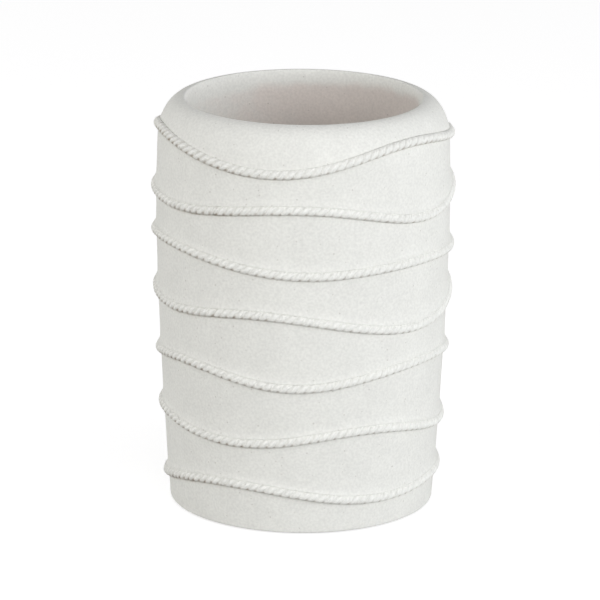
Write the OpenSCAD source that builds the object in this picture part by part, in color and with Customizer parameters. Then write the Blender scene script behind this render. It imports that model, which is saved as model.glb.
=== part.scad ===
// Bathroom tumbler: a thick cast cup with seven wavy rope trims round its wall.
// Millimetres, +Z up, with the origin at the centre of the face it stands on.

/* [Cup] */
// Height of the tumbler from the surface it stands on to the rim
cup_h = 109.5; // [90:0.5:140]
// Diameter of the wall at the foot
foot_d = 70; // [64:0.5:76]
// Diameter of the wall at the belly, its widest place
belly_d = 77.6; // [77:0.2:90]
// Height of the belly as a share of the tumbler's height
belly_share = 0.74; // [0.6:0.01:0.85]
// Sharpness of the barrel curve (2 is a parabola)
barrel_power = 1.6; // [1.2:0.05:3]
// Thickness of the wall where it meets the floor
wall_t = 6.4; // [4:0.2:9]
// Thickness of the floor above the underside of the foot
floor_t = 7; // [4:0.5:14]

/* [Rim] */
// How far the rounded shoulder draws in from the wall
shoulder_w = 6.6; // [3:0.1:9]
// Height of the rounded shoulder
shoulder_h = 10.2; // [5:0.2:14]
// Radius of the lip between the shoulder and the mouth
lip_r = 0.8; // [0.4:0.1:2]

/* [Edges] */
// Radius between the inner wall and the floor
inner_fillet = 6; // [2:0.5:10]
// Radius of the outer edge of the foot
foot_edge_r = 0.5; // [0.2:0.1:2]

/* [Ropes] */
// Width of a rope up the wall
rope_w = 2.6; // [1.4:0.1:4]
// How far a rope stands proud of the wall
rope_proud = 1.55; // [0.8:0.05:3]
// Height of the ropes' waves, which scales their wave shares
wave_h = 3; // [0:0.1:5]
// Glue line between a rope and the wall
glue_t = 0.05; // [0.04:0.01:0.2]

/* [Base pad] */
// Diameter of the non-slip pad under the foot
pad_d = 56; // [30:1:58]
// Thickness of the pad
pad_t = 1.5; // [1:0.1:3]
// How far the pad stands below the foot, out of the recess that it is glued in
pad_proud = 0.5; // [0.2:0.1:0.9]
// Clearance round the pad in its recess
pad_gap = 0.3; // [0.1:0.1:1]

/* [Hidden] */

// Facets of the turned pieces, and the steps along their curves
turn_fn = 180;
barrel_steps = 24;
shoulder_step_deg = 7.5;
arc_step_deg = 15;

// Rings round a rope, and the step between the points of its half-round section
rope_rings = 96;
section_step_deg = 30;

foot_r = foot_d / 2;
belly_r = belly_d / 2;
belly_z = cup_h * belly_share;
shoulder_z = cup_h - shoulder_h;
foot_z = pad_proud;
floor_z = foot_z + floor_t;
pad_r = pad_d / 2;

// Mean height of each rope, from the top one down, as shares of the tumbler's height
rope_mean_shares = [0.92, 0.786, 0.662, 0.522, 0.388, 0.238, 0.094];

// How far each rope strays from its mean height at even stations round the wall,
// as shares of wave_h. The first station is at +X, and the fourth quarter faces -Y.
rope_wave_shares = [
    [-0.05, -0.4, -0.7, -0.3, -0.2, -0.5, 0.6, 0.5, -0.65, -0.75, 0.65, 0.85],
    [0.3, 1, 0.85, -0.4, -1.2, -0.6, 0, -0.15, 0.4, 0.9, -0.05, -0.85],
    [-0.6, -0.45, 0.45, 0.7, 0.55, 0.1, 0.55, 0.85, 0.2, -0.4, -0.2, -0.2],
    [0.5, 1.3, 0.95, -0.35, -0.75, 0.15, 0.55, 0.25, 0.9, 0.75, -0.5, -0.85],
    [0.1, -0.75, -0.9, -0.25, 0.05, -0.45, -0.35, 0.55, 0.1, -0.55, 0.25, 0.65],
    [-0.75, -0.05, 0.65, 0.25, -0.4, -0.35, 0.25, 0, -0.45, 0.2, 0.75, -0.2],
    [-0.05, 0.45, 0.9, -0.25, -0.6, -1.1, -1.05, 0.2, 0.95, 0.35, -0.45, -0.25]
];

// Radius of the barrel wall at height z
function barrel_r(z) =
    belly_r - (belly_r - foot_r) * pow(abs(belly_z - z) / belly_z, barrel_power);

// How far the shoulder has drawn in at height z: a quarter of an ellipse
function drawn_in(z) =
    z <= shoulder_z ? 0 : shoulder_w * (1 - sqrt(max(1 - pow((z - shoulder_z) / shoulder_h, 2), 0)));

// Radius of the outside of the cup at height z
function wall_r(z) = barrel_r(z) - drawn_in(z);

mouth_r = wall_r(cup_h) - lip_r;
floor_r = barrel_r(floor_z) - wall_t;

// Points of an arc about [r, z]
function arc(centre, radius, from_deg, to_deg) =
    let (steps = ceil(abs(to_deg - from_deg) / arc_step_deg))
    [for (i = [0 : steps]) let (a = from_deg + (to_deg - from_deg) * i / steps)
        centre + radius * [cos(a), sin(a)]];

// Wave that is 1 at its own station and 0 at all the others
function station_wave(turn, count) =
    abs(sin(turn / 2)) < 1e-6 ? 1 : sin(count * turn / 2) * cos(turn / 2) / (count * sin(turn / 2));

// Smoothest closed wave through the shares at even stations
function wave_at(shares, angle) =
    let (count = len(shares))
    shares * [for (i = [0 : count - 1]) station_wave(angle - i * 360 / count, count)];

// Height of a rope's centre line at an angle round the cup
function rope_z(index, angle) =
    cup_h * rope_mean_shares[index] + wave_h * wave_at(rope_wave_shares[index], angle);

// Half-round section of a rope as [out from the wall, up the wall], with a flat back
rope_section = concat(
    [for (a = [-90 : section_step_deg : 90])
        [glue_t + (rope_proud - glue_t) * cos(a), rope_w / 2 * sin(a)]],
    [[glue_t, 0]]
);

// Turned outline of the cup: foot, wall, shoulder, lip, inner wall, floor and recess
function cup_outline() = concat(
    arc([barrel_r(foot_z + foot_edge_r) - foot_edge_r, foot_z + foot_edge_r], foot_edge_r, -90, 0),
    [for (i = [1 : barrel_steps])
        let (z = foot_z + foot_edge_r + (shoulder_z - foot_z - foot_edge_r) * i / barrel_steps)
        [wall_r(z), z]],
    [for (a = [shoulder_step_deg : shoulder_step_deg : 90])
        let (z = shoulder_z + shoulder_h * sin(a))
        [wall_r(z), z]],
    arc([mouth_r + lip_r, cup_h - lip_r], lip_r, 90 + arc_step_deg, 180),
    arc([floor_r - inner_fillet, floor_z + inner_fillet], inner_fillet, 0, -90),
    [
        [0, floor_z],
        [0, pad_t],
        [pad_r + pad_gap, pad_t],
        [pad_r + pad_gap, foot_z]
    ]
);

module cup_body() {
    color([0.88, 0.88, 0.85])
    rotate_extrude($fn = turn_fn)
    polygon(cup_outline());
}

// Closed ring swept round the wall along a rope's wave, seated on the wall all round
module rope_ring(index) {
    sides = len(rope_section);
    points = [
        for (ring = [0 : rope_rings - 1])
        let (angle = ring * 360 / rope_rings, z = rope_z(index, angle))
        for (p = rope_section)
        let (r = wall_r(z + p[1]) + p[0])
        [r * cos(angle), r * sin(angle), z + p[1]]
    ];
    faces = [
        for (ring = [0 : rope_rings - 1], side = [0 : sides - 1])
        let (
            here = ring * sides,
            next = (ring + 1) % rope_rings * sides,
            up = (side + 1) % sides
        )
        each [
            [here + side, here + up, next + up],
            [here + side, next + up, next + side]
        ]
    ];
    color([0.92, 0.92, 0.88])
    polyhedron(points, faces);
}

module rope_1() {
    rope_ring(0);
}

module rope_2() {
    rope_ring(1);
}

module rope_3() {
    rope_ring(2);
}

module rope_4() {
    rope_ring(3);
}

module rope_5() {
    rope_ring(4);
}

module rope_6() {
    rope_ring(5);
}

module rope_7() {
    rope_ring(6);
}

// Flat disc glued in the recess, a little proud of the foot
module base_pad() {
    color([0.72, 0.71, 0.68])
    cylinder(h = pad_t, r = pad_r, $fn = turn_fn);
}

cup_body();
rope_1();
rope_2();
rope_3();
rope_4();
rope_5();
rope_6();
rope_7();
base_pad();
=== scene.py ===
"""Bathroom tumbler: a thick cup of cast stone with seven wavy twisted ropes round its wall.

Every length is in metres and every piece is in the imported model's own frame: +Z up, the origin at
the centre of the face that the tumbler stands on, and -Y towards the camera.
"""

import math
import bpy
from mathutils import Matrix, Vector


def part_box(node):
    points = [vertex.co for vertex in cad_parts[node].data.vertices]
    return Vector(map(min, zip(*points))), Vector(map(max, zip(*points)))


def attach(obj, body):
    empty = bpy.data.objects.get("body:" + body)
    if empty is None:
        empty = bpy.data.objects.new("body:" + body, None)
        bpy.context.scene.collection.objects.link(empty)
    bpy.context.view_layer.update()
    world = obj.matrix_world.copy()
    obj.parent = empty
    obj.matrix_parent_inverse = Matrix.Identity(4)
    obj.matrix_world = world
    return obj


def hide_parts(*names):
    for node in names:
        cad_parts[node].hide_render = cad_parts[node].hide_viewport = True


bl_info = {
    "name": "Bathroom Tumbler",
    "version": (1, 0, 0),
    "blender": (4, 5, 0),
    "location": "View3D > Sidebar > Tumbler",
    "description": "Builds a cast stone tumbler with rope trims, its finishes and its studio",
    "category": "Object",
}

import bpy
import numpy as np
from bpy.props import FloatProperty, FloatVectorProperty, IntProperty, PointerProperty
from bpy.types import Operator, Panel, PropertyGroup
from mathutils import Matrix, Vector

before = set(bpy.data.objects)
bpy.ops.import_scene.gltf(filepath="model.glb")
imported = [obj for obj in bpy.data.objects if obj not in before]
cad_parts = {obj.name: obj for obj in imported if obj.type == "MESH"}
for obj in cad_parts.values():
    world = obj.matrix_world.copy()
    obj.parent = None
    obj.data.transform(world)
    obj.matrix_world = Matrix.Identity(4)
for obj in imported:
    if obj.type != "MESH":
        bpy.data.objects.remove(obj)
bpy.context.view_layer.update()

MM = 0.001
CUP_LOW, CUP_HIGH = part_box("cup_body")
PAD_LOW, PAD_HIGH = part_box("base_pad")

# Mean height of each rope, from the top one down, as shares of the tumbler's height
ROPE_MEAN_SHARES = (0.92, 0.786, 0.662, 0.522, 0.388, 0.238, 0.094)

# How far each rope strays from its mean height at even stations round the wall,
# as shares of the wave height. The first station is at +X, and the fourth quarter faces -Y.
# The shares come from a least-squares fit to the ropes in the photograph. Six in the first
# row were then changed, and the rest are the fit's rounded result.
ROPE_WAVE_SHARES = (
    (-0.05, -0.4, -0.7, -0.3, -0.2, -0.5, 0.6, 0.5, -0.65, -0.75, 0.65, 0.85),
    (0.3, 1, 0.85, -0.4, -1.2, -0.6, 0, -0.15, 0.4, 0.9, -0.05, -0.85),
    (-0.6, -0.45, 0.45, 0.7, 0.55, 0.1, 0.55, 0.85, 0.2, -0.4, -0.2, -0.2),
    (0.5, 1.3, 0.95, -0.35, -0.75, 0.15, 0.55, 0.25, 0.9, 0.75, -0.5, -0.85),
    (0.1, -0.75, -0.9, -0.25, 0.05, -0.45, -0.35, 0.55, 0.1, -0.55, 0.25, 0.65),
    (-0.75, -0.05, 0.65, 0.25, -0.4, -0.35, 0.25, 0, -0.45, 0.2, 0.75, -0.2),
    (-0.05, 0.45, 0.9, -0.25, -0.6, -1.1, -1.05, 0.2, 0.95, 0.35, -0.45, -0.25),
)

# Rows of the wall beside a rope, as distances from its centre line in rope radii
ROWS_ABOVE_ROPE = (0, 0.5, 0.8, 0.96, 1.1, 1.3, 1.55, 1.85, 2.2, 2.7, 3.3)
ROWS_BELOW_ROPE = (1.8, 1.45, 1.26, 1.16, 1.09, 1.03, 0.97, 0.9, 0.8, 0.6, 0.4)

# How much of the fill above a rope each has, from the top one down
ROPE_FILL_SHARES = (0.2, 1, 1, 1, 1, 1, 1)

# Evenly spaced rows of the wall between two ropes, and the steps of the rows up the shoulder
ROWS_BETWEEN_ROPES = 7
SHOULDER_STEPS = 24

# Where the fill above a rope starts, in rope radii above its centre line
FILL_START_SHARE = 0.8

# Mesh columns round a rope, and the length of a mesh row along it
ROPE_COLUMNS = 36
ROPE_ROW = 0.29 * MM

# Points that measure a rope's length, and the step up the wall that gives its slope
FINE_POINTS = 4001
SLOPE_STEP = 0.1 * MM

# How much a strand swells and thins along its length, as a share of the radius
STRAND_SWELL_SHARE = 0.035

# Whole turns of the unevenness round the cup: of the twist, and of the swelling with how fast
# it changes from one strand to the next, in radians
ROPE_WAVES = 9
WANDER_TURNS = 11
SWELL_TURNS = (9, 17)
STRAND_OFFSET = 2.1

# Seeds of the unevenness of the wall, and of each rope's swelling and twist, to which the
# rope's index is added
WALL_SEED = 7
SWELL_SEED = 20
WANDER_SEED = 40

# Where each rope's two ends meet, in degrees round the wall, and how deep the joint shows
ROPE_JOINT_DEG = (-118, -125, -131, -125.3, -122, -128, -124)
ROPE_JOINT_DEPTHS = (0.35, 0.8, 0.35, 0.8, 0.4, 0.3, 0.4)

# The nick at the joint: its slant and its width in rope radii, the share of the radius that it
# cuts away at full depth, and how dirty it is there
NICK_SLANT_SHARE = 0.45
NICK_WIDTH_SHARE = 0.22
NICK_DEPTH_SHARE = 0.3
NICK_DIRT = 0.35

# The side at which painted shade makes the creases and the ropes' low sides darkest, and how
# much more dark it adds there
SHADED_SIDE_DEG = -165
SHADED_SIDE_MORE = 0.9

# How much wider the painted shade lies in the creases for each share of that extra shade
SHADE_WIDER = 2.5

# How much of the extra painted shade also lies between each rope's strands, from the top one down
ROPE_STRAND_SHADE = (0.45, 0.12, 0.12, 0.12, 0.12, 0.12, 0.12)

# How dark the creases are painted with dirt and painted shade, how dark the grooves on a rope's
# low side are painted with dirt and painted shade, how much painted shade lies all over that side
# with the extra, and how much where the rope turns to the wall
CREASE_DIRT_AND_SHADE = 0.85
LOW_STRAND_DIRT_AND_SHADE = 0.8
LOW_SIDE_SHADE = 0.45
UNDERSIDE_SHADE = 0.35

# Where a rope's low side starts as the section turns down, how fast it sets in, and how much
# further its painted shade reaches with the extra
LOW_START = 0.9
LOW_SLOPE = 2.2
LOW_SPREAD = 0.4

# Where the underside starts, and how much it leans to the wall
UNDERSIDE_START = 0.6
UNDERSIDE_LEAN = 1.2

# How light the crowns of the strands are painted, as wear and a painted highlight that is
# strongest on their upper side, how fast that ends towards a groove, and how much of it is left
# square above and square outward
CROWN_WEAR_AND_HIGHLIGHT = 0.7
CROWN_SLOPE = 2.2
CROWN_EDGE = 0.2

# The warm film inside the cup, which also holds the painted shade below the lit band under the
# lip: the depth at which it starts, the depth over which it thickens, the depth below that over
# which it grows paler, and how much sooner it starts for each metre towards +X, as the rim's
# painted shadow reaches higher there
FILM_DEPTH = 1.6 * MM
FILM_FADE = 3.6 * MM
FILM_PALE = 12 * MM
FILM_SHADE_SLANT = 0.03

# The film's tone at the top, and how much that rises as it grows paler. The film is painted
# thinner and paler at -X as painted light, and darker at +X as painted shade.
FILM_TONE = 0.915
FILM_TONE_RISE = 0.115
FILM_LIT_THINNER = 0.6
FILM_LIT_PALER = 0.07
FILM_SHADED_DARKER = 0.03

# How light the lip is painted, with wear and a painted highlight, on the last rows of the
# shoulder and then round into the mouth
LIP_WEAR_AND_HIGHLIGHT = (0.35, 1, 1, 1, 1, 0.95, 0.9, 0.75, 0.5, 0.3, 0.15, 0.05)
SHOULDER_HIGHLIGHT_ROWS = 2

# How much of the lip's painted highlight lies square to -Y, and how much more of it at -X and
# less at +X
LIP_HIGHLIGHT_SHARE = 0.3
LIP_HIGHLIGHT_LEAN = 0.4

# Unevenness of the cast wall: its depth, its number of waves, and the height in which a wave
# repeats. It and the swelling at the ropes fade out over a height below the rim.
UNEVEN_DEPTH = 0.035 * MM
UNEVEN_WAVES = 14
UNEVEN_HEIGHT = 40 * MM
RIM_FADE = 6 * MM

# Radius of the mesh row nearest to the axis, below the cup and the pad, and on the cup's floor
UNDER_POLE_R = 4 * MM
FLOOR_POLE_R = 3 * MM

# Mesh rows across the recess, the foot and the foot's edge, and over the lip, down the inner
# wall, round the fillet and across the floor
RECESS_ROWS = 6
FOOT_ROWS = 5
FOOT_EDGE_ROWS = 4
LIP_ROWS = 14
INNER_ROWS = 34
FILLET_ROWS = 10
FLOOR_ROWS = 7

# Angles of the arcs at the foot's edge and over the lip, without the ends that other rows take
FOOT_EDGE_DEG = (-75, -15)
LIP_DEG = (91, 180)

# Power that gathers the rows of the lip and of the inner wall at their tops
ROW_GATHER = 1.5

# Rounding of the pad's edges, and the mesh rows of its flats and of each edge
PAD_EDGE_R = 0.35 * MM
PAD_FLAT_ROWS = 5
PAD_EDGE_ROWS = 6

# Size of the patches in grain sizes, and in the grain group's pattern how soft a speck's edge
# is and how deep its pit lies
PATCH_SIZE_SHARE = 3.0
SPECK_EDGE = 0.05
PIT_SHARE = 0.8

# Bumps: their height on the stone and on the pad, and how strong they are
STONE_RELIEF = 0.12 * MM
PAD_RELIEF = 0.15 * MM
CUP_BUMP = 0.4
ROPE_BUMP = 0.35
PAD_BUMP = 0.5

# How strongly the stone and the pad mirror light
STONE_SPECULAR = 0.35
PAD_SPECULAR = 0.3

# The pad's grain and mottle as shares of the stone's, the distance between its pores, their
# tone as a share of its colour, and its roughness
PAD_GRAIN_SHARE = 0.7
PAD_MOTTLE_SHARE = 2
PORE_SPACING = 1.1 * MM
PORE_TONE = 0.4
PAD_ROUGHNESS = 0.9

# How much of the mask of wear and painted highlight, of specks and of pores shows in the colour
WEAR_AND_HIGHLIGHT_SHARE = 0.9
SPECK_SHARE = 0.32
PORE_SHARE = 0.6

# Each range turns what lies between its first two values into what lies between its last two
FILM_PATCHES = (0.3, 0.7, -0.15, 0.15)
MOTTLE_TONE = (0.3, 0.7, 0.98, 1.012)
GRAIN_TONE = (0.1, 0.9, 0.915, 1.065)
FIBRE_TONE = (0.25, 0.75, 0.92, 1.05)
DIRT_AND_SHADE_PATCHES = (0.3, 0.7, 0.35, 1.05)
PAD_TONE = (0.25, 0.75, 0.85, 1.08)
FILM_RANGE = (0.15, 1.0, 0.0, 1.0)
SPECK_SIZES = (0.15, 1.0, 0.0, 0.16)

# How much smoother and how much rougher the stone gets between two values of the grain
GRAIN_RANGE = (0.2, 0.8)
SMOOTHER = 0.05
ROUGHER = 0.06

# The floor: its mesh columns, its tone for rays that carry light, and its tone and its glow's
# strength for the camera
FLOOR_COLUMNS = 96
FLOOR_TONE = (0.5, 0.5, 0.495)
FLOOR_SEEN_TONE = (0.45, 0.45, 0.45)
FLOOR_GLOW = 0.77
WHITE = (1, 1, 1)

# Nearest and furthest distance that the camera sees
CAMERA_NEAR = 0.05
CAMERA_FAR = 50

# Sides of the large and of the small square lamps
LARGE_LAMP = 0.9
SMALL_LAMP = 0.4

# Each soft lamp's name, its angle to the right of the front and above the floor in degrees,
# the side of its square, and its tint
LAMPS = (
    ("behind_left", -120, 15, LARGE_LAMP, (1, 0.985, 0.98)),
    ("left", -60, 15, LARGE_LAMP, (1, 0.985, 0.975)),
    ("above", 0, 85, LARGE_LAMP, (0.98, 0.95, 1)),
    ("front", 20, 15, LARGE_LAMP, (1, 0.98, 0.99)),
    ("right", 50, 15, LARGE_LAMP, (0.955, 0.975, 1)),
    ("side", 90, 15, LARGE_LAMP, (0.975, 0.98, 1)),
    ("low_right", 75, 6, SMALL_LAMP, (0.97, 0.93, 1)),
)


def length(name, value, note):
    """A length property in metres."""
    return FloatProperty(name=name, description=note, default=value, min=0, unit="LENGTH", precision=5)


def number(name, value, note):
    """A plain number property."""
    return FloatProperty(name=name, description=note, default=value, precision=4)


def degrees(name, value, note):
    """An angle property, stored in radians."""
    return FloatProperty(name=name, description=note, default=math.radians(value), subtype="ANGLE")


def colour(name, value, note):
    """A linear colour property."""
    return FloatVectorProperty(
        name=name, description=note, default=value, size=3, min=0, max=1, subtype="COLOR"
    )


class TumblerCup(PropertyGroup):
    """Sizes of the cast cup."""

    foot_d: length("Foot diameter", 70 * MM, "Diameter of the wall at the foot")
    belly_d: length("Belly diameter", 2 * CUP_HIGH.x, "Diameter of the wall at its widest place")
    belly_share: number("Belly share", 0.74, "Height of the belly as a share of the height")
    barrel_power: number("Barrel power", 1.6, "Sharpness of the barrel curve")
    wall_t: length("Wall at the floor", 6.4 * MM, "Thickness of the wall where it meets the floor")
    floor_t: length("Floor", 7 * MM, "Thickness of the floor above the foot")
    shoulder_w: length("Shoulder width", 6.6 * MM, "How far the shoulder draws in from the wall")
    shoulder_h: length("Shoulder height", 10.2 * MM, "Height of the rounded shoulder")
    lip_r: length("Lip radius", 0.8 * MM, "Width of the rounding between shoulder and mouth")
    lip_h: length("Lip height", 3.5 * MM, "How far the rounding of the lip reaches into the mouth")
    inner_fillet: length("Inner fillet", 6 * MM, "Radius between the inner wall and the floor")
    foot_edge_r: length("Foot edge", 0.5 * MM, "Radius of the outer edge of the foot")
    recess_gap: length("Recess gap", 0.3 * MM, "Clearance round the pad in its recess")
    columns: IntProperty(name="Columns", description="Mesh columns round the cup", default=288)


class TumblerRopes(PropertyGroup):
    """Sizes of the ropes and of the wall beside them."""

    rope_r: length("Rope radius", 1.22 * MM, "Radius over the strands")
    lift: length("Lift", 0.3 * MM, "Distance from the wall to the rope's centre line")
    wave_h: length("Wave height", 3 * MM, "Height of the ropes' waves, which scales their shares")
    lay: length("Lay", 4.45 * MM, "Length of rope in which a strand makes one turn")
    strands: IntProperty(name="Strands", description="Strands in a rope", default=2)
    groove_share: number("Groove depth", 0.34, "Depth between the strands, as a share of the radius")
    groove_facing: degrees("Groove facing", 4, "How far above outward the grooves are deepest")
    groove_fade: number("Groove fade", 0.35, "How much deeper the grooves are at -X than at the front")
    yarn_share: number("Yarn depth", 0.07, "Depth between the yarns of a strand, as a share")
    wander: number("Wander", 0.3, "How unevenly the strands are twisted, in radians")
    fullness: number("Fullness", 0.1, "How much fuller the lower outer side of a rope is")
    flare: length("Flare", 0.27 * MM, "How far the wall swells out just above a rope")
    flare_reach: length("Flare reach", 2 * MM, "How far up the wall the swelling fades")
    fillet: length("Fillet", 0.85 * MM, "Fill between the wall and the upper side of a rope")
    fillet_reach: length("Fillet reach", 0.4 * MM, "How far up the wall the fill fades")
    crease: length("Crease", 0.2 * MM, "Depth of the crease just below a rope")
    crease_w: length("Crease width", 0.13 * MM, "How far the crease reaches past the rope")


class TumblerFinish(PropertyGroup):
    """Colours and grain of the finishes."""

    stone: colour("Stone", (0.78, 0.785, 0.745), "Cast stone outside the cup")
    rope: colour("Rope", (0.81, 0.815, 0.775), "Cast stone of the ropes")
    # The inside colour is a warm film that, by its mask, also paints shade inside the cup
    inside: colour("Inside", (0.77, 0.712, 0.665), "Warm film that water leaves inside the cup")
    # The worn colour paints wear and a painted highlight on the lip and the strands' crowns
    worn: colour("Worn edge", (0.9, 0.9, 0.865), "Lip and strands where they are rubbed clean")
    # The dirt colour paints dirt and painted shade in the creases and on the ropes' low sides
    dirt_and_shade: colour("Crease dirt", (0.335, 0.29, 0.235), "What stays in creases and between strands")
    speck: colour("Speck", (0.3, 0.27, 0.23), "Dark mineral specks")
    pad: colour("Pad", (0.45, 0.44, 0.42), "Foam rubber under the foot")
    grain_size: length("Grain", 0.65 * MM, "Size of the sandstone grain")
    mottle_size: length("Mottle", 7 * MM, "Size of the faint cloudy patches")
    speck_size: length("Speck spacing", 1.6 * MM, "Distance between specks within the stone")
    roughness: number("Roughness", 0.86, "Roughness of the cast stone")
    fibre_l: length("Fibre length", 1.3 * MM, "Length of the fibres that show in a strand")
    fibre_w: length("Fibre width", 0.3 * MM, "Width of the fibres that show in a strand")


class TumblerStage(PropertyGroup):
    """Camera, floor and lights."""

    camera_distance: length("Camera distance", 1.2, "From the camera to the middle of the tumbler")
    elevation: degrees("Elevation", 16, "How far the camera looks down")
    roll: degrees("Roll", 0.43, "Turn of the camera about its line of sight")
    lens: number("Lens", 271, "Focal length in millimetres on a 36 mm sensor")
    shift_right: length("Right of centre", 0.66 * MM, "How far right of the frame's middle it stands")
    shift_up: length("Above centre", 1.03 * MM, "How far above the frame's middle it stands")
    floor_radius: length("Floor radius", 4, "Radius of the floor")
    world: number("World", 0.2, "Strength of the even light all round")
    lamp_distance: length("Lamp distance", 1.3, "From each lamp to the middle of the tumbler")
    behind_left: number("Lamp behind left", 2.1, "Power of the lamp behind the left, in watts")
    left: number("Left lamp", 8.9, "Power of the large lamp at the left, in watts")
    above: number("Lamp above", 1.7, "Power of the large lamp above, in watts")
    front: number("Front lamp", 4.4, "Power of the large lamp near the front, in watts")
    right: number("Right lamp", 8.65, "Power of the large lamp at the right, in watts")
    side: number("Side lamp", 2.5, "Power of the lamp square at the right, in watts")
    low_right: number("Low right lamp", 1.5, "Power of the small lamp low at the right, in watts")


class TumblerSettings(PropertyGroup):
    """All settings of the tumbler."""

    cup: PointerProperty(type=TumblerCup)
    ropes: PointerProperty(type=TumblerRopes)
    finish: PointerProperty(type=TumblerFinish)
    stage: PointerProperty(type=TumblerStage)


def barrel_radius(cup, z):
    """Radius of the barrel wall at height z: the belly's, less a power of the distance from it."""
    belly_z = CUP_HIGH.z * cup.belly_share
    fall = (cup.belly_d - cup.foot_d) / 2
    return cup.belly_d / 2 - fall * np.abs((belly_z - z) / belly_z) ** cup.barrel_power


def wall_radius(cup, z):
    """Radius of the outside at height z: the barrel's, less a quarter ellipse at the shoulder."""
    climb = np.clip((z - (CUP_HIGH.z - cup.shoulder_h)) / cup.shoulder_h, 0, 1)
    return barrel_radius(cup, z) - cup.shoulder_w * (1 - np.sqrt(1 - climb**2))


def closed_wave(shares, angle):
    """The smoothest closed curve through values at even stations round a circle.

    Each station adds its value times sin(n t / 2) cos(t / 2) / (n sin(t / 2)), where t is the
    turn from the station and n their number. That is 1 at the station and 0 at all the others.
    """
    count = len(shares)
    turn = angle[..., None] - np.arange(count) * 2 * np.pi / count
    near = np.abs(np.sin(turn / 2)) < 1e-9
    below = np.where(near, 1, count * np.sin(turn / 2))
    bell = np.where(near, 1, np.sin(count * turn / 2) * np.cos(turn / 2) / below)
    return bell @ np.array(shares, float)


def rope_height(ropes, index, angle):
    """Height of a rope's centre line: its mean height, plus its closed wave."""
    wave = closed_wave(ROPE_WAVE_SHARES[index], angle)
    return CUP_HIGH.z * ROPE_MEAN_SHARES[index] + ropes.wave_h * wave


def soft_noise(seed, count, *phases):
    """Smooth closed unevenness from -1 to 1: a sum of seeded sines of the given phases.

    Each phase is an angle that grows by a whole number of turns round the piece, so that the
    sum closes on itself.
    """
    dice = np.random.default_rng(seed)
    total = 0
    for _ in range(count):
        beat = dice.integers(1, 6, len(phases))
        total = total + np.sin(sum(b * p for b, p in zip(beat, phases)) + dice.uniform(0, 2 * np.pi))
    return total / count


def grid_faces(rows, columns, closed_rows=False):
    """Quads of a grid that is closed along its columns, and along its rows too if asked.

    The face at row i and column j joins the points (i, j), (i, j + 1), (i + 1, j + 1), (i + 1, j).
    """
    row = np.arange(rows if closed_rows else rows - 1)[:, None]
    column = np.arange(columns)[None, :]
    here = row * columns + column
    beside = row * columns + (column + 1) % columns
    above = (row + 1) % rows * columns
    return np.stack([here, beside, above + (column + 1) % columns, above + column], -1).reshape(-1, 4)


def new_piece(name, points, faces, material, node):
    """Makes a smooth mesh from arrays and sets it in the frame in place of its CAD node."""
    mesh = bpy.data.meshes.new(name)
    mesh.from_pydata(points.reshape(-1, 3).tolist(), [], faces)
    mesh.update()
    mesh.polygons.foreach_set("use_smooth", np.ones(len(mesh.polygons), bool))
    mesh.materials.append(material)
    piece = bpy.data.objects.new(name, mesh)
    bpy.context.scene.collection.objects.link(piece)
    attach(piece, "root")
    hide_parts(node)
    return piece


def paint(piece, name, values):
    """Stores one number for each point of the mesh as a named attribute."""
    layer = piece.data.attributes.new(name, "FLOAT", "POINT")
    layer.data.foreach_set("value", np.ascontiguousarray(values, np.float32).ravel())


def turned_points(radius, height, columns):
    """Points of a turned surface: x = r cos a, y = r sin a, for each row's radius and height.

    radius and height hold one value for each row, or one for each row and column.
    """
    angle = np.arange(columns) * 2 * np.pi / columns
    radius = np.broadcast_to(radius, (len(radius), columns))
    height = np.broadcast_to(height, radius.shape)
    return np.stack([radius * np.cos(angle), radius * np.sin(angle), height], -1)


def turned_rows(rows, columns):
    """Points of turned rows, which are given as pairs of an array of radii and one of heights."""
    return np.concatenate([turned_points(r[:, None], z[:, None], columns) for r, z in rows])


def capped_faces(rows, columns):
    """Quads of a turned grid, with a fan to the first pole point and one to the last.

    The grid's points come first, then the pole of its first row and the pole of its last row.
    """
    first_pole = rows * columns
    around = np.arange(columns)
    beside = (around + 1) % columns
    low = np.stack([np.full(columns, first_pole), beside, around], -1)
    top = (rows - 1) * columns
    high = np.stack([np.full(columns, first_pole + 1), top + around, top + beside], -1)
    return grid_faces(rows, columns).tolist() + low.tolist() + high.tolist()


def arc(radius_at, height_at, radius, start_deg, end_deg, steps, rise=None, gather=1):
    """Rows along an arc about (radius_at, height_at): the centre plus radius cos t, rise sin t.

    The rise is the radius unless it is given. The rows gather at the start as the even shares
    of the way are raised to a power.
    """
    share = np.linspace(0, 1, steps) ** gather
    turn = np.radians(start_deg + (end_deg - start_deg) * share)
    return radius_at + radius * np.cos(turn), height_at + (rise or radius) * np.sin(turn)


def wall_rows(cup, ropes, angle):
    """Heights of the outer wall's rows, one for each row and column, from the foot to the rim.

    The rows follow the ropes: beside each rope they keep fixed distances from its centre line,
    between two ropes they are spaced evenly, and up the shoulder they step evenly in its angle.
    """
    centre = [rope_height(ropes, i, angle) for i in reversed(range(len(ROPE_MEAN_SHARES)))]
    above = np.array(ROWS_ABOVE_ROPE)[:, None] * ropes.rope_r
    below = np.array(ROWS_BELOW_ROPE)[:, None] * ropes.rope_r
    floor_row = np.full_like(angle, CUP_LOW.z + cup.foot_edge_r)
    rows = []
    lowest = floor_row[None]
    for line in centre:
        start, end = lowest[-1], line - below[0]
        share = np.linspace(0, 1, ROWS_BETWEEN_ROPES + 2)[1:-1, None]
        rows += [lowest, start + (end - start) * share, line - below]
        lowest = line + above
    shoulder_z = CUP_HIGH.z - cup.shoulder_h
    climb = (lowest[-1] - shoulder_z) / cup.shoulder_h
    first = np.where(climb > 0, np.arcsin(np.clip(climb, 0, 1)), climb)
    turn = first + (np.pi / 2 - first) * np.linspace(0, 1, SHOULDER_STEPS + 1)[1:, None]
    rows += [lowest, shoulder_z + cup.shoulder_h * np.where(turn > 0, np.sin(turn), turn)]
    return np.concatenate(rows), centre


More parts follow.
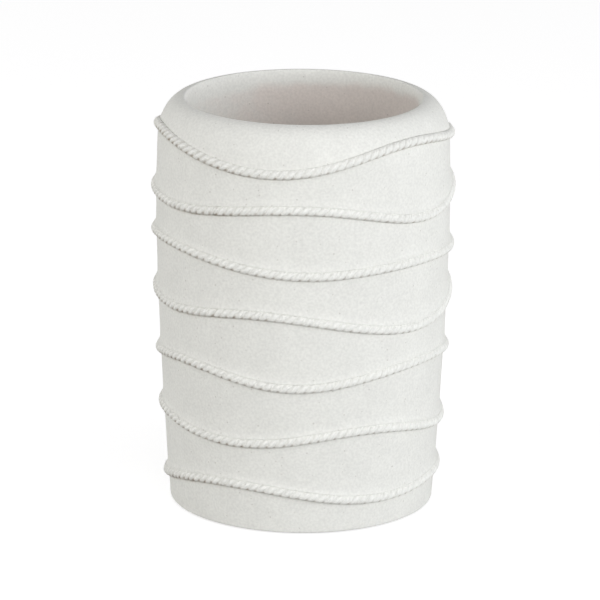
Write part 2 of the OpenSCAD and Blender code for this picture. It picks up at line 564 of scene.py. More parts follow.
def dirt_and_shade_share(angle):
    """How thickly dirt and painted shade lie round the wall: 1, and more shade as the cosine of the
    turn from one side.

    The cosine is squared, and counts only on that side of the wall.
    """
    return 1 + SHADED_SIDE_MORE * np.clip(np.cos(angle - np.radians(SHADED_SIDE_DEG)), 0, 1) ** 2


def beside_ropes(ropes, heights, centre, angle):
    """How far the wall stands out beside the ropes, and how dark its creases are painted with dirt
    and painted shade.

    Above a rope the wall swells out by the flare and the fillet, each times e to the minus
    distance over its reach. Behind a rope's lower half lies a crease, which past the rope's
    edge fades as e to the minus square of the distance over the crease width. Dirt and painted
    shade follow the crease below the rope, and the painted shade is thicker and much wider where
    the share of shade is high.
    """
    out = np.zeros_like(heights)
    dirt_and_shade = np.zeros_like(heights)
    # Painted shade: the creases get darker, and wider, towards the shaded side by this share
    dark_share = dirt_and_shade_share(angle)
    for line, share in zip(centre, reversed(ROPE_FILL_SHARES)):
        over = heights - line - FILL_START_SHARE * ropes.rope_r
        climb = np.maximum(over, 0)
        swell = ropes.flare * np.exp(-climb / ropes.flare_reach)
        swell += ropes.fillet * np.exp(-climb / ropes.fillet_reach)
        under = np.maximum(line - ropes.rope_r - heights, 0)
        behind = np.where(heights < line, np.exp(-((under / ropes.crease_w) ** 2)), 0)
        out += np.where(over > 0, share * swell, 0) - ropes.crease * behind
        # Dirt and painted shade in the crease below each rope
        wide = ropes.crease_w * (1 + SHADE_WIDER * (dark_share - 1))
        crease_dark = np.where(heights < line, np.exp(-((under / wide) ** 2)), 0)
        dirt_and_shade = np.maximum(dirt_and_shade, CREASE_DIRT_AND_SHADE * dark_share * crease_dark)
    return out, dirt_and_shade


def mouth_radius(cup):
    """Radius of the mouth: the wall's at the rim, less the width of the lip."""
    return wall_radius(cup, CUP_HIGH.z) - cup.lip_r


def underside_rows(cup):
    """Level rows across the recess and across the foot, and the arc at the foot's edge."""
    recess_r = PAD_HIGH.x + cup.recess_gap
    edge_z = CUP_LOW.z + cup.foot_edge_r
    foot_r = barrel_radius(cup, edge_z) - cup.foot_edge_r
    return (
        (np.linspace(UNDER_POLE_R, recess_r, RECESS_ROWS), np.full(RECESS_ROWS, PAD_HIGH.z)),
        (np.linspace(recess_r, foot_r, FOOT_ROWS), np.full(FOOT_ROWS, CUP_LOW.z)),
        arc(foot_r, edge_z, cup.foot_edge_r, *FOOT_EDGE_DEG, FOOT_EDGE_ROWS),
    )


def inside_rows(cup):
    """Rows over the lip, down the inner wall, round the fillet and across the floor.

    The lip is a quarter of an ellipse. The inner wall is straight, and its rows gather at the
    top as the even shares of the way down are raised to a power.
    """
    floor_z = CUP_LOW.z + cup.floor_t
    floor_r = barrel_radius(cup, floor_z) - cup.wall_t
    mouth_r = mouth_radius(cup)
    lip_z = CUP_HIGH.z - cup.lip_h
    lip = arc(mouth_r + cup.lip_r, lip_z, cup.lip_r, *LIP_DEG, LIP_ROWS, cup.lip_h, ROW_GATHER)
    turn_r, turn_z = floor_r - cup.inner_fillet, floor_z + cup.inner_fillet
    fillet = arc(turn_r, turn_z, cup.inner_fillet, 0, -90, FILLET_ROWS)
    down = np.linspace(0, 1, INNER_ROWS + 2)[1:-1] ** ROW_GATHER
    inner = (
        mouth_r + (floor_r - mouth_r) * down,
        lip[1][-1] + (fillet[1][0] - lip[1][-1]) * down,
    )
    floor = (
        np.linspace(fillet[0][-1], FLOOR_POLE_R, FLOOR_ROWS + 1)[1:],
        np.full(FLOOR_ROWS, floor_z),
    )
    return lip, inner, fillet, floor


def paint_cup(piece, cup, grid, first, dirt_and_shade, angle):
    """Paints dirt and painted shade on the outer wall from its first row on, the film with its
    painted shade and light inside, and the lip's wear and painted highlight.

    The film starts at its depth, sooner towards +X by the slant, thickens evenly over its fade,
    and is less by the lit share towards -X. Its tone rises over the paling depth, and changes by
    the side in step with x over the mouth's radius, paler as painted light at -X and darker as
    painted shade at +X. The wear and highlight is the lip's for each row, times the highlight
    share minus the sine and minus the lean times the cosine of the angle round the cup, kept from
    0 to 1, so that it is full at -Y and lies more at -X than at +X.
    """
    start = first + len(dirt_and_shade)
    crease = np.zeros(grid.shape[:2])
    crease[first:start] = dirt_and_shade

    # Painted shade inside: the film starts sooner towards +X, where the rim's shade reaches higher
    depth = CUP_HIGH.z - grid[start:, :, 2] + FILM_SHADE_SLANT * grid[start:, :, 0]
    across = np.clip(grid[start:, :, 0] / mouth_radius(cup), -1, 1)
    lit_thinning = FILM_LIT_THINNER * np.maximum(-across, 0)
    film = np.zeros(grid.shape[:2])
    film[start:] = np.clip((depth - FILM_DEPTH) / FILM_FADE, 0, 1) * (1 - lit_thinning)

    # Painted light and shade inside: the film's tone is paler at -X and darker at +X
    rise = FILM_TONE_RISE * np.clip((depth - FILM_DEPTH - FILM_FADE) / FILM_PALE, 0, 1)
    light_by_side = 1 - np.where(across > 0, FILM_SHADED_DARKER, FILM_LIT_PALER) * across
    tone = np.ones(grid.shape[:2])
    tone[start:] = (FILM_TONE + rise) * light_by_side

    # Painted highlight along the lip, strongest towards -Y and more at -X than at +X
    lip_side = np.clip(LIP_HIGHLIGHT_SHARE - np.sin(angle) - LIP_HIGHLIGHT_LEAN * np.cos(angle), 0, 1)
    worn = np.zeros(grid.shape[:2])
    lit_row = start - SHOULDER_HIGHLIGHT_ROWS
    worn[lit_row : lit_row + len(LIP_WEAR_AND_HIGHLIGHT)] = np.outer(LIP_WEAR_AND_HIGHLIGHT, lip_side)

    # These attributes hold crease dirt with painted shade, the film with painted shade, its tone with
    # painted light and shade, and lip wear with a painted highlight
    paint(piece, "crease", np.append(crease.ravel(), [0, 0]))
    paint(piece, "film", np.append(film.ravel(), [0, 1]))
    paint(piece, "film_tone", np.append(tone.ravel(), [1, 1]))
    paint(piece, "worn", np.append(worn.ravel(), [0, 0]))


def build_cup(cup, ropes, material):
    """The cast cup as one closed turned mesh.

    Its rows run from the middle of the recess out to the foot, up the wall and the shoulder, over
    the lip, down the inner wall and across the floor. The outer wall adds what stands beside the
    ropes and a slight unevenness, and everything else is a plain turned outline.
    """
    angle = np.arange(cup.columns) * 2 * np.pi / cup.columns
    heights, centre = wall_rows(cup, ropes, angle)
    out, dirt_and_shade = beside_ropes(ropes, heights, centre, angle)
    turns = heights * (2 * np.pi / UNEVEN_HEIGHT)
    waves = soft_noise(WALL_SEED, UNEVEN_WAVES, angle[None, :], turns)
    fade = np.clip((CUP_HIGH.z - heights) / RIM_FADE, 0, 1)
    wall = wall_radius(cup, heights) + (out + UNEVEN_DEPTH * waves) * fade

    under = turned_rows(underside_rows(cup), cup.columns)
    inside = turned_rows(inside_rows(cup), cup.columns)
    grid = np.concatenate([under, turned_points(wall, heights, cup.columns), inside])
    poles = np.array([[0, 0, PAD_HIGH.z], [0, 0, CUP_LOW.z + cup.floor_t]])
    points = np.concatenate([grid.reshape(-1, 3), poles])
    faces = capped_faces(len(grid), cup.columns)
    piece = new_piece("cup", points, faces, material, "cup_body")
    paint_cup(piece, cup, grid, len(under), dirt_and_shade, angle)


def strand_folds(ropes, turn):
    """The share of the way from a crown to the groove beside it, at each angle of a section.

    It is given for the strands, and for the two yarns that lie side by side in each strand.
    """
    strand = np.abs((turn * ropes.strands / (2 * np.pi) + 0.5) % 1 - 0.5) * 2
    return strand, np.abs(2 * strand - 1)


def soft_fall(fold):
    """How far a crown has fallen at a share f of the way to its groove: (1 - cos(pi f)) / 2."""
    return (1 - np.cos(np.pi * fold)) / 2


def unwrap(piece, rows, columns, length_round):
    """Gives a closed grid a UV map: metres along the rope, and turns round its section.

    Each face takes the row and column where it starts, and its far corners one more, so the
    map has no jump inside a face.
    """
    row, column = np.divmod(np.arange(rows * columns), columns)
    along = np.stack([row + 1, row + 1, row, row], -1) * length_round / rows
    across = np.stack([column, column + 1, column + 1, column], -1) / columns
    layer = piece.data.uv_layers.new(name="lay")
    layer.data.foreach_set("uv", np.stack([along, across], -1).astype(np.float32).ravel())


def rope_line(cup, ropes, index, angle):
    """Points of a rope's centre line: x = R cos a, y = R sin a, z = the rope's height.

    R is the wall's radius at that height plus the lift.
    """
    z = rope_height(ropes, index, angle)
    reach = wall_radius(cup, z) + ropes.lift
    return np.stack([reach * np.cos(angle), reach * np.sin(angle), z], -1)


def rope_axes(cup, line, angle):
    """Unit vectors out from the wall and up it at each point of a closed line.

    Ahead points from the point before to the point after. Out starts square to the wall's slope.
    Up is the cross product of out and ahead, and then out is the cross product of ahead and up.
    """
    z = line[:, 2]
    ahead = np.roll(line, -1, 0) - np.roll(line, 1, 0)
    ahead /= np.linalg.norm(ahead, axis=1)[:, None]
    slope = (wall_radius(cup, z + SLOPE_STEP) - wall_radius(cup, z - SLOPE_STEP)) / (2 * SLOPE_STEP)
    outward = np.stack([np.cos(angle), np.sin(angle), -slope], -1)
    upward = np.cross(outward, ahead)
    upward /= np.linalg.norm(upward, axis=1)[:, None]
    return np.cross(ahead, upward), upward


def rope_nick(cup, ropes, index, angle, phase):
    """How deep the joint's nick cuts: the joint's depth, times e to the minus square of a share.

    The share is the distance from the joint, less the slant times the sine of the angle round
    the section, over the nick's width. All three are in rope radii.
    """
    joint = np.radians(ROPE_JOINT_DEG[index])
    beyond = (np.angle(np.exp(1j * (angle - joint)))[:, None] * cup.belly_d / 2) / ropes.rope_r
    slanted = (beyond - NICK_SLANT_SHARE * np.sin(phase)) / NICK_WIDTH_SHARE
    return np.exp(-(slanted**2)) * ROPE_JOINT_DEPTHS[index]


def paint_rope(piece, index, angle, phase, fold, crisp, nick):
    """Paints a rope's dirt and painted shade, and its wear and painted highlight, from the angle a
    above outward, and the share f to a groove.

    The low side is its slope times minus sin a, less its start, and more by its spread times
    the extra painted shade. The underside is minus its lean times cos a, less sin a and its start.
    A crown is 1 less its slope times f, times its edge plus sin 2a, so that its painted highlight
    lies on the upper side. All are kept from 0 to 1. Dirt and painted shade lie on the low side
    between strands, and painted shade lies all over it with the extra, on the underside, and
    between all strands by the rope's own share of the extra. The dirt of the joint lies in the nick.
    """
    # Painted shade on the rope's low side and underside, with more towards the shaded side
    side_dark = dirt_and_shade_share(angle)[:, None]
    low = np.clip(-LOW_SLOPE * np.sin(phase) - LOW_START + LOW_SPREAD * (side_dark - 1), 0, 1)
    under = np.clip(-UNDERSIDE_LEAN * np.cos(phase) - np.sin(phase) - UNDERSIDE_START, 0, 1)
    # Painted highlight on the upper side of the strands' crowns, with some wear
    crown = np.clip(1 - CROWN_SLOPE * fold, 0, 1) * np.clip(CROWN_EDGE + np.sin(2 * phase), 0, 1)
    folded = soft_fall(fold)[None, :] ** 2
    dirt_and_shade = (LOW_STRAND_DIRT_AND_SHADE * folded + LOW_SIDE_SHADE * (side_dark - 1)) * low + UNDERSIDE_SHADE * under
    dirt_and_shade += ROPE_STRAND_SHADE[index] * (side_dark - 1) * folded
    # The groove attribute holds dirt and painted shade, and the dirt of the joint
    paint(piece, "groove", np.clip(dirt_and_shade + NICK_DIRT * nick, 0, 1))
    paint(piece, "worn", CROWN_WEAR_AND_HIGHLIGHT * crisp * crown * (1 - nick))


def build_rope(cup, ropes, index, material):
    """One closed rope laid round the wall along its wave.

    Round its centre line the section turns once in each lay and wanders a little, so a grid
    column follows a strand. The radius falls between strands by the groove share, times the
    soft fall of a crown and the squared cosine of the angle from the side that the grooves
    face, and more towards -X than towards +X. It falls between yarns by the yarn share, and
    grows by the fullness times minus the sine of twice the angle above outward. Each strand
    swells and thins a little along its length, and a nick cuts in where the ends meet.
    """
    fine = np.linspace(0, 2 * np.pi, FINE_POINTS)
    gaps = np.linalg.norm(np.diff(rope_line(cup, ropes, index, fine), axis=0), axis=1)
    run = np.append(0, np.cumsum(gaps))
    lays = round(run[-1] / ropes.lay)
    steps = round(run[-1] / ROPE_ROW)
    angle = np.interp(np.arange(steps) / steps * run[-1], run, fine)
    along = np.arange(steps) / steps * 2 * np.pi
    line = rope_line(cup, ropes, index, angle)
    outward, upward = rope_axes(cup, line, angle)

    turn = np.arange(ROPE_COLUMNS) * 2 * np.pi / ROPE_COLUMNS - np.pi / ropes.strands
    wander = ropes.wander * soft_noise(index + WANDER_SEED, ROPE_WAVES, along * WANDER_TURNS)
    phase = (along * lays + wander)[:, None] + turn[None, :]
    fold, yarn = strand_folds(ropes, turn)
    facing = np.clip(np.cos(phase - ropes.groove_facing), 0, 1) ** 2
    crisp = (1 - ropes.groove_fade * np.cos(angle))[:, None]
    groove = soft_fall(fold)[None, :] * facing * crisp
    yarn_groove = ropes.yarn_share * soft_fall(yarn)[None, :]

    strand = np.floor(turn / (2 * np.pi) * ropes.strands + 0.5)[None, :] % ropes.strands
    own_phase = along[:, None] * SWELL_TURNS[0] + strand * STRAND_OFFSET
    swell = soft_noise(index + SWELL_SEED, ROPE_WAVES, own_phase, along[:, None] * SWELL_TURNS[1])
    nick = rope_nick(cup, ropes, index, angle, phase)
    full = 1 - ropes.fullness * np.sin(2 * phase)
    radius = ropes.rope_r * (1 - ropes.groove_share * groove - yarn_groove)
    radius = radius * full * (1 + STRAND_SWELL_SHARE * swell) * (1 - NICK_DEPTH_SHARE * nick)
    points = (
        line[:, None, :]
        + (radius * np.cos(phase))[..., None] * outward[:, None, :]
        + (radius * np.sin(phase))[..., None] * upward[:, None, :]
    )
    faces = grid_faces(steps, ROPE_COLUMNS, closed_rows=True)[:, ::-1].tolist()
    name = f"rope_{index + 1}"
    piece = new_piece(f"{name}_laid", points, faces, material, name)
    paint_rope(piece, index, angle, phase, fold, crisp, nick)
    unwrap(piece, steps, ROPE_COLUMNS, run[-1])


def build_pad(cup, material):
    """The pad as a closed turned disc with rounded edges: flat, an arc up the edge, and flat."""
    columns = cup.columns // 2
    radius, low, high = PAD_HIGH.x, PAD_LOW.z, PAD_HIGH.z
    flat_r = radius - PAD_EDGE_R
    flat = np.linspace(UNDER_POLE_R, flat_r, PAD_FLAT_ROWS + 1)
    rows = (
        (flat[:-1], np.full(PAD_FLAT_ROWS, low)),
        arc(flat_r, low + PAD_EDGE_R, PAD_EDGE_R, -90, 0, PAD_EDGE_ROWS),
        arc(flat_r, high - PAD_EDGE_R, PAD_EDGE_R, 0, 90, PAD_EDGE_ROWS),
        (flat[-2::-1], np.full(PAD_FLAT_ROWS, high)),
    )
    grid = turned_rows(rows, columns)
    points = np.concatenate([grid.reshape(-1, 3), [[0, 0, low], [0, 0, high]]])
    faces = capped_faces(len(grid), columns)
    new_piece("base_pad_foam", points, faces, material, "base_pad")


def add_node(tree, kind, inputs=None, **settings):
    """Adds a node, sets its properties, and sets or links the inputs that are given by name."""
    node = tree.nodes.new(kind)
    for name, value in settings.items():
        setattr(node, name, value)
    for name, value in (inputs or {}).items():
        socket = node.inputs[name]
        if isinstance(value, bpy.types.NodeSocket):
            tree.links.new(value, socket)
        else:
            socket.default_value = value
    return node


def add_math(tree, operation, first, second=0.5, clamp=False):
    """Adds a Math node and returns its output."""
    node = add_node(
        tree, "ShaderNodeMath", {0: first, 1: second}, operation=operation, use_clamp=clamp
    )
    return node.outputs[0]


def add_mix(tree, factor, first, second, blend="MIX"):
    """Adds a colour Mix node and returns its output."""
    inputs = {0: factor, 6: first, 7: second}
    node = add_node(tree, "ShaderNodeMix", inputs, data_type="RGBA", blend_type=blend)
    return node.outputs[2]


def add_range(tree, value, low, high, to_low=0.0, to_high=1.0):
    """Adds a smooth Map Range node and returns its output."""
    node = add_node(
        tree,
        "ShaderNodeMapRange",
        {"Value": value, "From Min": low, "From Max": high, "To Min": to_low, "To Max": to_high},
        interpolation_type="SMOOTHSTEP",
    )
    return node.outputs[0]


def add_noise(tree, place, scale, detail, roughness):
    """Adds a Noise texture and returns its value."""
    inputs = {"Vector": place, "Scale": scale, "Detail": detail, "Roughness": roughness}
    return add_node(tree, "ShaderNodeTexNoise", inputs).outputs[0]


def cast_grain_group():
    """Shader group for cast material: grain, mottling, patches, dark specks and a height.

    Grain and mottling are noise at the two sizes, and the patches are noise at the patch share
    of the grain. A speck is a small round spot round some of the points of a Voronoi pattern.
    The height is the grain, with a pit at each speck.
    """
    group = bpy.data.node_groups.get("cast_grain")
    if group:
        return group
    group = bpy.data.node_groups.new("cast_grain", "ShaderNodeTree")
    for name in ("Grain Size", "Mottle Size", "Speck Spacing"):
        group.interface.new_socket(name=name, in_out="INPUT", socket_type="NodeSocketFloat")
    for name in ("Grain", "Mottle", "Patches", "Speck", "Height"):
        group.interface.new_socket(name=name, in_out="OUTPUT", socket_type="NodeSocketFloat")
    inside = add_node(group, "NodeGroupInput")
    end = add_node(group, "NodeGroupOutput")
    place = add_node(group, "ShaderNodeTexCoord").outputs["Object"]

    grain_scale = add_math(group, "DIVIDE", 1.0, inside.outputs["Grain Size"])
    mottle_scale = add_math(group, "DIVIDE", 1.0, inside.outputs["Mottle Size"])
    speck_scale = add_math(group, "DIVIDE", 1.0, inside.outputs["Speck Spacing"])
    grain = add_noise(group, place, grain_scale, detail=2.5, roughness=0.45)
    mottle = add_noise(group, place, mottle_scale, detail=4.0, roughness=0.55)
    patch_scale = add_math(group, "DIVIDE", grain_scale, PATCH_SIZE_SHARE)
    patches = add_noise(group, place, patch_scale, detail=1.0, roughness=0.5)
    spots = add_node(
        group, "ShaderNodeTexVoronoi", {"Vector": place, "Scale": speck_scale, "Randomness": 1.0}
    )
    chance = add_node(group, "ShaderNodeSeparateColor", {"Color": spots.outputs["Color"]})
    chosen = add_range(group, chance.outputs[0], *SPECK_SIZES)
    edge = add_math(group, "SUBTRACT", chosen, spots.outputs["Distance"])
    speck = add_range(group, edge, 0.0, SPECK_EDGE)
    pits = add_math(group, "MULTIPLY", speck, PIT_SHARE)
    height = add_math(group, "SUBTRACT", grain, pits)
    for name, value in zip(
        ("Grain", "Mottle", "Patches", "Speck", "Height"), (grain, mottle, patches, speck, height)
    ):
        group.links.new(value, end.inputs[name])
    return group


def add_cast_grain(tree, grain_size, mottle_size, speck_spacing):
    """Places the cast group with its three sizes and returns its outputs."""
    inputs = {"Grain Size": grain_size, "Mottle Size": mottle_size, "Speck Spacing": speck_spacing}
    return add_node(tree, "ShaderNodeGroup", inputs, node_tree=cast_grain_group()).outputs


def add_surface(tree, end, body, rough, specular, height, bump, relief):
    """Ends a material with a Principled shader, bumped by a height of the given relief."""
    raised = {"Strength": bump, "Distance": relief, "Height": height}
    normal = add_node(tree, "ShaderNodeBump", raised).outputs[0]
    looks = {"Base Color": body, "Roughness": rough, "Normal": normal, "Specular IOR Level": specular}
    shader = add_node(tree, "ShaderNodeBsdfPrincipled", looks)
    tree.links.new(shader.outputs[0], end.inputs["Surface"])


def new_material(name):
    """Makes an empty node material and returns it with its tree and its output node."""
    material = bpy.data.materials.new(name)
    material.use_nodes = True
    tree = material.node_tree
    tree.nodes.clear()
    return material, tree, add_node(tree, "ShaderNodeOutputMaterial")


def shaded(value, colour_value):
    """A linear colour scaled by a number, with full alpha."""
    return tuple(value * c for c in colour_value) + (1.0,)


def tinted(tree, body, tone):
    """A colour multiplied by a number near 1 that changes over the surface."""
    grey = add_node(tree, "ShaderNodeCombineColor", {0: tone, 1: tone, 2: tone})
    return add_mix(tree, 1.0, body, grey.outputs[0], "MULTIPLY")


def painted(tree, name):
    """The values of a mesh attribute."""
    return add_node(tree, "ShaderNodeAttribute", attribute_name=name).outputs["Fac"]


def fibre_pattern(tree, ropes, finish):
    """Streaks that run along the strands: noise on the rope's own map, drawn out to fibres."""
    lay = add_node(tree, "ShaderNodeUVMap", uv_map="lay")
    around = 2 * math.pi * ropes.rope_r / finish.fibre_w
    drawn = add_node(
        tree,
        "ShaderNodeMapping",
        {"Vector": lay.outputs[0], "Scale": (1 / finish.fibre_l, around, 1)},
    )
    return add_noise(tree, drawn.outputs[0], 1.0, detail=1.0, roughness=0.5)


def cast_material(name, finish, body, dirt_and_shade_name, bump, film=False, ropes=None):
    """Matt cast stone with grain, mottling, specks, wear and painted highlights on edges, dirt and
    painted shade in creases, and a grainy bump.

    The cup's inside also has its film with painted shade and light, and the ropes have the
    fibres of their strands.
    """
    material, tree, end = new_material(name)
    grain = add_cast_grain(tree, finish.grain_size, finish.mottle_size, finish.speck_size)
    height = grain["Height"]
    body = shaded(1, body)
    # The film paints a warm inside colour with painted shade and light from its mask and tone
    if film:
        patchy = add_range(tree, grain["Mottle"], *FILM_PATCHES)
        uneven = add_math(tree, "ADD", painted(tree, "film"), patchy)
        thickness = add_range(tree, uneven, *FILM_RANGE)
        inside_tone = tinted(tree, shaded(1, finish.inside), painted(tree, "film_tone"))
        body = add_mix(tree, thickness, body, inside_tone)
    # Wear and a painted highlight on the lip and on the strands' crowns
    worn = add_math(tree, "MULTIPLY", painted(tree, "worn"), WEAR_AND_HIGHLIGHT_SHARE)
    body = add_mix(tree, worn, body, shaded(1, finish.worn))
    body = tinted(tree, body, add_range(tree, grain["Mottle"], *MOTTLE_TONE))
    body = tinted(tree, body, add_range(tree, grain["Grain"], *GRAIN_TONE))
    if ropes:
        fibres = fibre_pattern(tree, ropes, finish)
        body = tinted(tree, body, add_range(tree, fibres, *FIBRE_TONE))
        height = add_math(tree, "ADD", height, fibres)
    speck = add_math(tree, "MULTIPLY", grain["Speck"], SPECK_SHARE)
    body = add_mix(tree, speck, body, shaded(1, finish.speck))
    # Dirt and painted shade from the crease or groove attribute, in patches
    dark_patches = add_range(tree, grain["Patches"], *DIRT_AND_SHADE_PATCHES)
    dirt_and_shade = add_math(tree, "MULTIPLY", painted(tree, dirt_and_shade_name), dark_patches, clamp=True)
    body = add_mix(tree, dirt_and_shade, body, shaded(1, finish.dirt_and_shade))
    low, high = finish.roughness - SMOOTHER, finish.roughness + ROUGHER
    rough = add_range(tree, grain["Grain"], *GRAIN_RANGE, low, high)
    add_surface(tree, end, body, rough, STONE_SPECULAR, height, bump, STONE_RELIEF)
    return material


def pad_material(finish):
    """Foam rubber: a dull even grey with open pores from the cast group at a finer size."""
    material, tree, end = new_material("pad_foam")
    grain_size = finish.grain_size * PAD_GRAIN_SHARE
    mottle_size = finish.mottle_size * PAD_MOTTLE_SHARE
    grain = add_cast_grain(tree, grain_size, mottle_size, PORE_SPACING)
    pores = add_math(tree, "MULTIPLY", grain["Speck"], PORE_SHARE)
    tone = add_range(tree, grain["Grain"], *PAD_TONE)
    body = tinted(tree, shaded(1, finish.pad), tone)
    body = add_mix(tree, pores, body, shaded(PORE_TONE, finish.pad))
    height = grain["Height"]
    add_surface(tree, end, body, PAD_ROUGHNESS, PAD_SPECULAR, height, PAD_BUMP, PAD_RELIEF)
    return material


def seen_directly(tree):
    """1 for rays from the camera, a mirror or glass, and 0 for rays that only carry light."""
    path = add_node(tree, "ShaderNodeLightPath")
    mirror = add_math(tree, "ADD", path.outputs["Is Camera Ray"], path.outputs["Is Glossy Ray"])
    return add_math(tree, "ADD", mirror, path.outputs["Is Transmission Ray"], clamp=True)


def floor_material():
    """Pale floor that looks white from the camera and still takes a soft shadow."""
    material, tree, end = new_material("floor_white")
    plain = add_node(tree, "ShaderNodeBsdfDiffuse", {"Color": shaded(1, FLOOR_TONE)})
    half = add_node(tree, "ShaderNodeBsdfDiffuse", {"Color": shaded(1, FLOOR_SEEN_TONE)})
    glow = add_node(tree, "ShaderNodeEmission", {"Color": shaded(1, WHITE), "Strength": FLOOR_GLOW})
    white = add_node(tree, "ShaderNodeAddShader", {0: half.outputs[0], 1: glow.outputs[0]})
    mix = add_node(
        tree,
        "ShaderNodeMixShader",
        {0: seen_directly(tree), 1: plain.outputs[0], 2: white.outputs[0]},
    )
    tree.links.new(mix.outputs[0], end.inputs["Surface"])
    return material


def build_floor(stage):
    """A flat round floor with one fan of faces."""
    points = turned_points(np.array([[stage.floor_radius]]), np.array([[0.0]]), FLOOR_COLUMNS)
    points = np.concatenate([points.reshape(-1, 3), [[0, 0, 0]]])
    around = np.arange(FLOOR_COLUMNS)
    beside = (around + 1) % FLOOR_COLUMNS
    faces = np.stack([np.full(FLOOR_COLUMNS, FLOOR_COLUMNS), around, beside], -1)
    mesh = bpy.data.meshes.new("floor")
    mesh.from_pydata(points.tolist(), [], faces.tolist())
    mesh.materials.append(floor_material())
    floor = bpy.data.objects.new("floor", mesh)
    bpy.context.scene.collection.objects.link(floor)


def build_world(stage):
    """Even light all round, which looks white where the camera sees it."""
    world = bpy.data.worlds.new("studio")
    world.use_nodes = True
    tree = world.node_tree
    tree.nodes.clear()
    tone = shaded(1, WHITE)
    light = add_node(tree, "ShaderNodeBackground", {"Color": tone, "Strength": stage.world})
    white = add_node(tree, "ShaderNodeBackground", {"Color": tone, "Strength": 1.0})
    mix = add_node(
        tree,
        "ShaderNodeMixShader",
        {0: seen_directly(tree), 1: light.outputs[0], 2: white.outputs[0]},
    )
    end = add_node(tree, "ShaderNodeOutputWorld", {"Surface": mix.outputs[0]})
    end.is_active_output = True
    bpy.context.scene.world = world


def build_lamp(name, place, aim, size, power, tint):
    """A square soft lamp that faces the point it lights."""
    lamp = bpy.data.lights.new(name, "AREA")
    lamp.shape = "SQUARE"
    lamp.size = size
    lamp.energy = power
    lamp.color = tint
    thing = bpy.data.objects.new(name, lamp)
    thing.location = place
    thing.rotation_euler = (Vector(aim) - Vector(place)).to_track_quat("-Z", "Y").to_euler()
    bpy.context.scene.collection.objects.link(thing)


def build_camera(stage):
    """A long lens at the photograph's angle.

    The camera stands back along its line of sight, which passes a little below and to the left
    of the tumbler's middle, and it is rolled by a small angle about that line.
    """
    lean, roll = stage.elevation, stage.roll
    ahead = Vector((0, math.cos(lean), -math.sin(lean)))
    level = Vector((1, 0, 0))
    rise = Vector((0, math.sin(lean), math.cos(lean)))
    right = math.cos(roll) * level + math.sin(roll) * rise
    up = -math.sin(roll) * level + math.cos(roll) * rise
    middle = Vector((0, 0, (CUP_LOW.z + CUP_HIGH.z) / 2))
    aim = middle - stage.shift_right * right - stage.shift_up * up
    data = bpy.data.cameras.new("camera")
    data.sensor_width = 36
    data.lens = stage.lens
    data.clip_start, data.clip_end = CAMERA_NEAR, CAMERA_FAR
    camera = bpy.data.objects.new("camera", data)
    turned = Matrix((right, up, -ahead)).transposed().to_4x4()
    camera.matrix_world = Matrix.Translation(aim - ahead * stage.camera_distance) @ turned
    bpy.context.scene.collection.objects.link(camera)
    bpy.context.scene.camera = camera


class TUMBLER_OT_stage(Operator):
    """Build the camera, the floor, the world and the lamps"""

    bl_idname = "tumbler.stage"
    bl_label = "Stage"

    def execute(self, context):
        stage = context.scene.tumbler.stage
        aim = (0, 0, CUP_HIGH.z / 2)
        build_camera(stage)
        build_floor(stage)
        build_world(stage)
        for name, across, climb, size, tint in LAMPS:
            across, climb = math.radians(across), math.radians(climb)
            back = stage.lamp_distance * math.cos(climb)
            place = (
                back * math.sin(across),
                -back * math.cos(across),
                aim[2] + stage.lamp_distance * math.sin(climb),
            )
            build_lamp(name, place, aim, size, getattr(stage, name), tint)
        context.scene.view_settings.view_transform = "Standard"
        return {"FINISHED"}


class TUMBLER_OT_cup(Operator):
    """Build the cast cup, with its wall worked round the ropes"""

    bl_idname = "tumbler.cup"
    bl_label = "Cup"

    def execute(self, context):
        settings = context.scene.tumbler
        finish = settings.finish
        stone = finish.stone
        material = cast_material("cast_stone", finish, stone, "crease", CUP_BUMP, film=True)
        build_cup(settings.cup, settings.ropes, material)
        return {"FINISHED"}


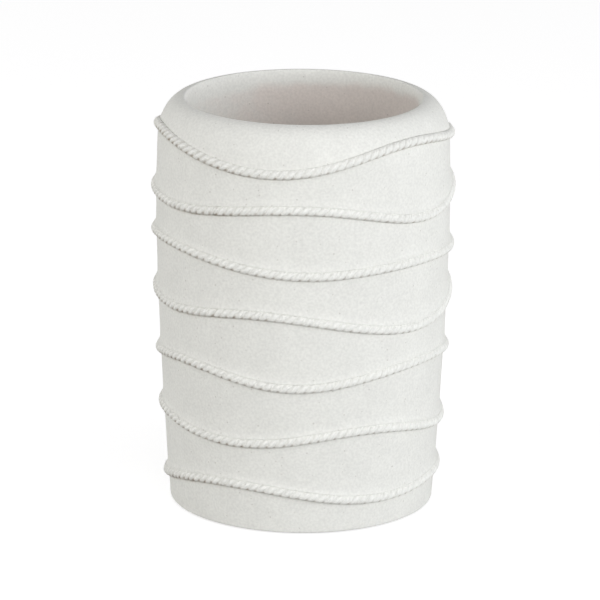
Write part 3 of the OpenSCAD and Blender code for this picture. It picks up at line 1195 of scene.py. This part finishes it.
class TUMBLER_OT_ropes(Operator):
    """Build the seven twisted ropes round the wall"""

    bl_idname = "tumbler.ropes"
    bl_label = "Ropes"

    def execute(self, context):
        settings = context.scene.tumbler
        finish = settings.finish
        ropes = settings.ropes
        material = cast_material("cast_rope", finish, finish.rope, "groove", ROPE_BUMP, ropes=ropes)
        for index in range(len(ROPE_MEAN_SHARES)):
            build_rope(settings.cup, ropes, index, material)
        return {"FINISHED"}


class TUMBLER_OT_base_pad(Operator):
    """Build the non-slip pad under the foot"""

    bl_idname = "tumbler.base_pad"
    bl_label = "Base pad"

    def execute(self, context):
        settings = context.scene.tumbler
        build_pad(settings.cup, pad_material(settings.finish))
        return {"FINISHED"}


class TUMBLER_PT_panel(Panel):
    """Buttons that build the tumbler's pieces, and the settings that they read"""

    bl_idname = "TUMBLER_PT_panel"
    bl_label = "Tumbler"
    bl_space_type = "VIEW_3D"
    bl_region_type = "UI"
    bl_category = "Tumbler"

    def draw(self, context):
        settings = context.scene.tumbler
        for operator in OPERATORS:
            self.layout.operator(operator.bl_idname)
        for group in (settings.cup, settings.ropes, settings.finish, settings.stage):
            box = self.layout.box()
            for name in group.bl_rna.properties.keys():
                if name not in {"rna_type", "name"}:
                    box.prop(group, name)


OPERATORS = (TUMBLER_OT_stage, TUMBLER_OT_cup, TUMBLER_OT_ropes, TUMBLER_OT_base_pad)
GROUPS = (TumblerCup, TumblerRopes, TumblerFinish, TumblerStage, TumblerSettings)


def register():
    """Registers the classes and adds the settings to the scene."""
    for item in GROUPS + OPERATORS + (TUMBLER_PT_panel,):
        bpy.utils.register_class(item)
    bpy.types.Scene.tumbler = PointerProperty(type=TumblerSettings)


def unregister():
    """Removes the settings and the classes."""
    del bpy.types.Scene.tumbler
    for item in reversed(GROUPS + OPERATORS + (TUMBLER_PT_panel,)):
        bpy.utils.unregister_class(item)


def main():
    register()
    bpy.ops.tumbler.stage()
    bpy.ops.tumbler.cup()
    bpy.ops.tumbler.ropes()
    bpy.ops.tumbler.base_pad()


if __name__ == "__main__":
    main()
